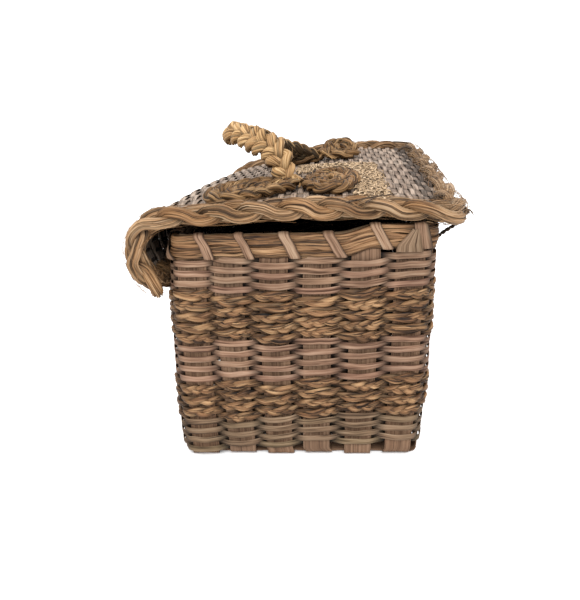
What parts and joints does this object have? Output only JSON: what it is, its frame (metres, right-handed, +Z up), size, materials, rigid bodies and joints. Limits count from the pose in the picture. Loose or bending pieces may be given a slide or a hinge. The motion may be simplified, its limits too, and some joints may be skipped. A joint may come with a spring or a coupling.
{
  "type": "sewing basket",
  "caption": "Rectangular splint and sweetgrass sewing basket with a cord-hinged lid that curls over one side and a braided handle that tilts.",
  "frame": {"origin": "middle of the base's underside, on the face that the basket rests on", "axes": "+Z up, +Y along the basket's length from the near end to the far end, +X towards the long side that the lid is tied to"},
  "size_m": [0.1987, 0.2784, 0.194],
  "materials": {
    "ash_tan": "dry split ash, weathered tan",
    "ash_pink": "dry split ash, faded pinkish dye",
    "ash_grey": "dry split ash, weathered grey-tan",
    "grass_brown": "braided sweetgrass, aged brown",
    "grass_straw": "braided sweetgrass, golden straw",
    "cord_dark": "twisted cord, dark grey-brown"
  },
  "bodies": {
    "basket": {"crosswise_splint_01": "ash_grey", "crosswise_splint_02": "ash_grey", "crosswise_splint_03": "ash_grey", "crosswise_splint_04": "ash_grey", "crosswise_splint_05": "ash_grey", "crosswise_splint_06": "ash_grey", "crosswise_splint_07": "ash_grey", "crosswise_splint_08": "ash_grey", "crosswise_splint_09": "ash_grey", "crosswise_splint_10": "ash_grey", "crosswise_splint_11": "ash_grey", "lengthwise_splint_01": "ash_grey", "lengthwise_splint_02": "ash_grey", "lengthwise_splint_03": "ash_grey", "lengthwise_splint_04": "ash_grey", "lengthwise_splint_05": "ash_grey", "lengthwise_splint_06": "ash_grey", "bottom_splint_weavers": "ash_tan", "lower_grass_weavers": "grass_brown", "middle_splint_weavers": "ash_pink", "upper_grass_weavers": "grass_brown", "top_splint_weavers": "ash_pink", "inner_rim_hoop": "ash_tan", "outer_rim_bundle": "ash_tan", "rim_lashing": "ash_pink", "near_hinge_tie": "cord_dark", "far_hinge_tie": "cord_dark"},
    "lid": {"lid_splint_01": "ash_grey", "lid_splint_02": "ash_grey", "lid_splint_03": "ash_grey", "lid_splint_04": "ash_grey", "lid_splint_05": "ash_grey", "lid_splint_06": "ash_grey", "lid_splint_07": "ash_grey", "lid_splint_08": "ash_grey", "lid_splint_09": "ash_grey", "lid_splint_10": "ash_grey", "lid_splint_11": "ash_grey", "lid_splint_12": "ash_grey", "lid_splint_13": "ash_grey", "lid_splint_14": "ash_grey", "lid_weave": "ash_grey", "lid_edge_braid": "grass_brown", "near_left_ornament": "grass_brown", "near_right_ornament": "grass_brown", "far_left_ornament": "grass_brown", "far_right_ornament": "grass_brown"},
    "handle": {"handle_braid": "grass_straw"}
  },
  "joints": [
    {"name": "lid_hinge", "type": "hinge", "parent": "basket", "child": "lid", "pos_m": [0.089, 0, 0.1465], "axis": [0, 1, 0], "range_deg": [0, 180]},
    {"name": "handle_tilt", "type": "hinge", "parent": "lid", "child": "handle", "pos_m": [-0.0004, -0.0098, 0.16075], "axis": [0.1357, 0.9907, 0], "range_deg": [0, 75]}
  ]
}
